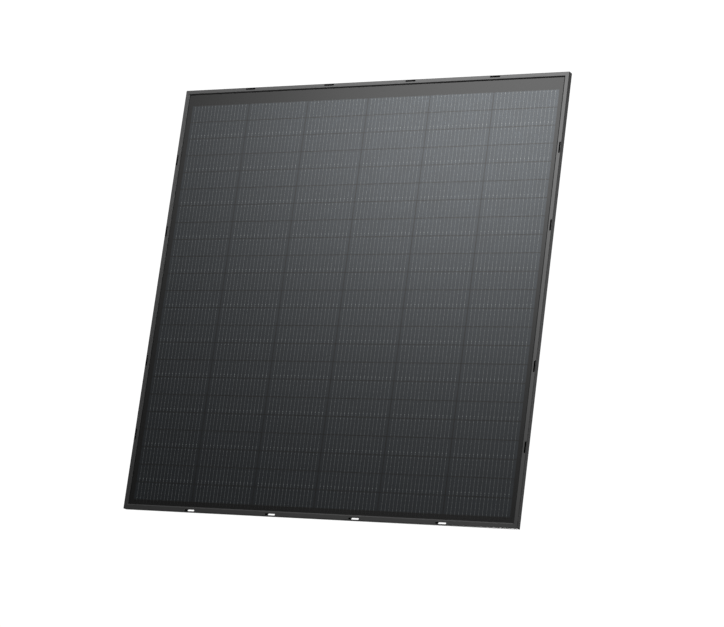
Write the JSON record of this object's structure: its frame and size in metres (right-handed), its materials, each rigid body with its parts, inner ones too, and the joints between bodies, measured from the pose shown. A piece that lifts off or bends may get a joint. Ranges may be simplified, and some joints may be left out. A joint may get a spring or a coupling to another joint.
{
  "type": "solar panel",
  "caption": "Flat framed solar panel with dark cell columns behind glass, a slim black rim with clip slots, and a rear junction box.",
  "frame": {"origin": "middle of the rear face of the frame, in the plane the panel lies on", "axes": "+X along the panel's width to the right seen from the front, +Y towards its top edge, +Z out of the glass"},
  "size_m": [1.155, 1.17, 0.016],
  "materials": {
    "black_anodised_frame": "black anodised, fine satin",
    "raw_aluminium": "mill finish",
    "black_sealant": "satin",
    "solar_glass": "toughened, low-iron, fine stipple",
    "clear_encapsulant": "clear film",
    "black_backsheet": "fine matt film",
    "solar_cell": "dark blue-grey, antireflection coat",
    "tinned_copper": "tinned, bright",
    "black_mask_film": "matt",
    "black_adhesive": "matt",
    "black_box_plastic": "moulded, fine grain",
    "seal_rubber": "matt",
    "plain_steel": "zinc plated",
    "terminal_brass": "plain",
    "diode_plastic": "moulded",
    "plate_foil": "blank silver foil"
  },
  "bodies": {
    "panel": {"frame_top": "black_anodised_frame", "frame_bottom": "black_anodised_frame", "frame_left": "black_anodised_frame", "frame_right": "black_anodised_frame", "corner_key_top_left": "raw_aluminium", "corner_key_top_right": "raw_aluminium", "corner_key_bottom_left": "raw_aluminium", "corner_key_bottom_right": "raw_aluminium", "edge_seal": "black_sealant", "front_glass": "solar_glass", "front_encapsulant": "clear_encapsulant", "rear_encapsulant": "clear_encapsulant", "backsheet": "black_backsheet", "cell_string_1": "solar_cell", "cell_string_2": "solar_cell", "cell_string_3": "solar_cell", "cell_string_4": "solar_cell", "cell_string_5": "solar_cell", "cell_string_6": "solar_cell", "string_wires_1": "tinned_copper", "string_wires_2": "tinned_copper", "string_wires_3": "tinned_copper", "string_wires_4": "tinned_copper", "string_wires_5": "tinned_copper", "string_wires_6": "tinned_copper", "top_bus_ribbons": "tinned_copper", "bottom_bus_ribbons": "tinned_copper", "bus_mask_strips": "black_mask_film", "box_leads": "tinned_copper", "box_pad": "black_adhesive", "box_base": "black_box_plastic", "box_lid_seal": "seal_rubber", "box_hinge_pin": "plain_steel", "box_terminals": "terminal_brass", "box_terminal_screws": "plain_steel", "bypass_diodes": "diode_plastic", "gland_bodies": "black_box_plastic", "gland_nuts": "black_box_plastic", "gland_seals": "seal_rubber", "rating_plate": "plate_foil"},
    "lid": {"box_lid": "black_box_plastic"}
  },
  "joints": [
    {"name": "box_lid_hinge", "type": "hinge", "parent": "panel", "child": "lid", "pos_m": [0, 0.4921, 0.0024], "axis": [-1, 0, 0], "range_deg": [0, 110]}
  ]
}
